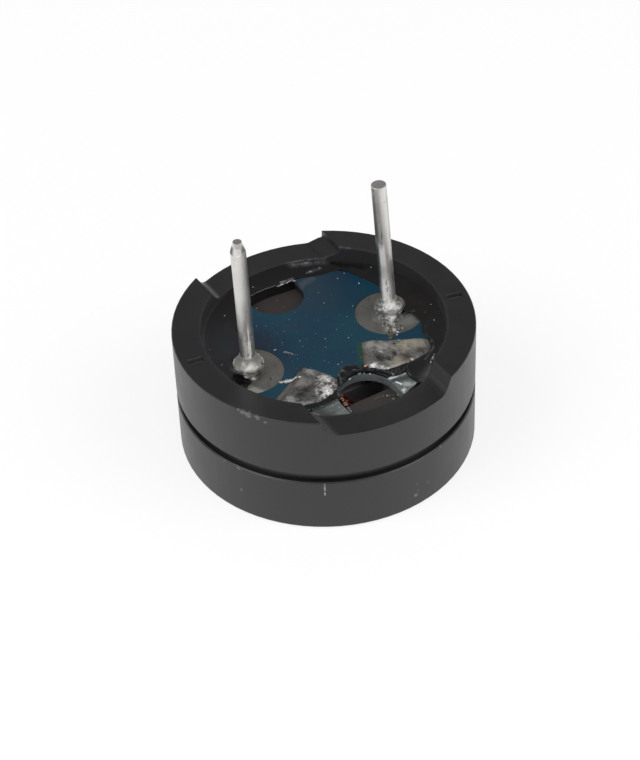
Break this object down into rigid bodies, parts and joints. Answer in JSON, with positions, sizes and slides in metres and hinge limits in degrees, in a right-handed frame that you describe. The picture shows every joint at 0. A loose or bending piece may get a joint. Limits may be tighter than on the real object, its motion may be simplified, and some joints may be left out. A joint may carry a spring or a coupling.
{
  "type": "magnetic buzzer",
  "caption": "Low round black magnetic buzzer standing on its sound face, with a recessed circuit board and two wire pins on its rear side.",
  "frame": {"origin": "centre of the case on the sound face, on which the part stands", "axes": "+Z from the sound face towards the pins; +X along the line through the pins' feet, from the pin with the pinched tip to the square-cut one"},
  "size_m": [0.012, 0.012, 0.0109],
  "materials": {
    "case_plastic": "satin moulded",
    "spring_steel": "satin",
    "soft_iron": "satin plated",
    "ferrite": "ground",
    "enamelled_copper": "lacquered",
    "laminate": "bare glass laminate",
    "blue_mask": "semi-gloss lacquer",
    "tinned_copper": "dull tinned",
    "tinned_pin": "bright tinned",
    "solder": "rough solder",
    "black_resin": "glossy cured"
  },
  "bodies": {
    "root": {"sound_cap": "case_plastic", "base_case": "case_plastic", "diaphragm": "spring_steel", "armature_disc": "soft_iron", "magnet_ring": "ferrite", "pole_core": "soft_iron", "yoke_plate": "soft_iron", "coil_winding": "enamelled_copper", "circuit_board": "laminate", "solder_mask": "blue_mask", "copper_left": "tinned_copper", "copper_right": "tinned_copper", "pin_left": "tinned_pin", "pin_right": "tinned_pin", "pin_solder_left": "solder", "pin_solder_right": "solder", "wire_solder_left": "solder", "wire_solder_right": "solder", "solder_link_left": "solder", "edge_resin": "black_resin"}
  },
  "joints": []
}
